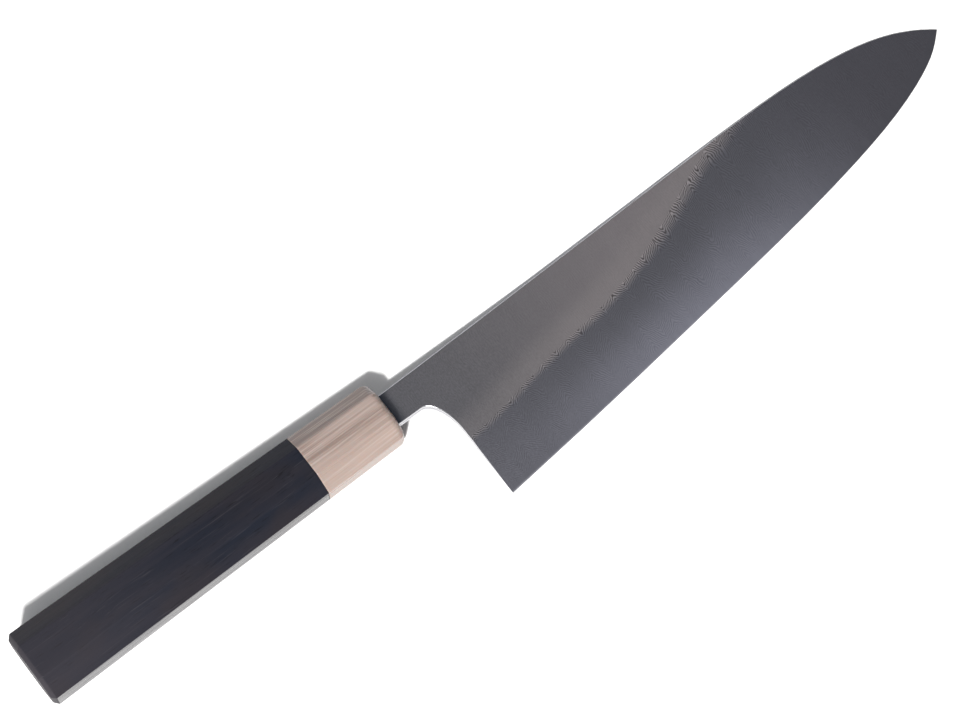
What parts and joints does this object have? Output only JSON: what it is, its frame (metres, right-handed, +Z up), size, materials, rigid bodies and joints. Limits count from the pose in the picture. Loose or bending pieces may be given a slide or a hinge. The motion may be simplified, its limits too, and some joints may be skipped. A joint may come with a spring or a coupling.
{
  "type": "chef knife",
  "caption": "Japanese-style chef knife: deep pattern-welded blade with a wide ground bevel and a finger notch, on a tapered octagonal dark wood handle with a pale horn ferrule.",
  "frame": {"origin": "middle of the underside of the knife's box, the knife lying on its left side with the blade level", "axes": "+X along the handle towards the tip, +Y towards the spine (the cutting edge is on the -Y side), +Z up through the blade's thickness, out of its right side"},
  "size_m": [0.3622, 0.059, 0.0212],
  "materials": {
    "core_steel": "ground and honed hard steel",
    "cladding": "etched layered steel, satin",
    "horn": null,
    "ebony": "fine-sanded dark hardwood",
    "dowel_wood": "bare softwood",
    "resin": "set resin"
  },
  "bodies": {
    "root": {"core_steel": "core_steel", "cladding_right": "cladding", "cladding_left": "cladding", "ferrule": "horn", "handle_body": "ebony", "dowel": "dowel_wood", "tang_bed": "resin"}
  },
  "joints": []
}
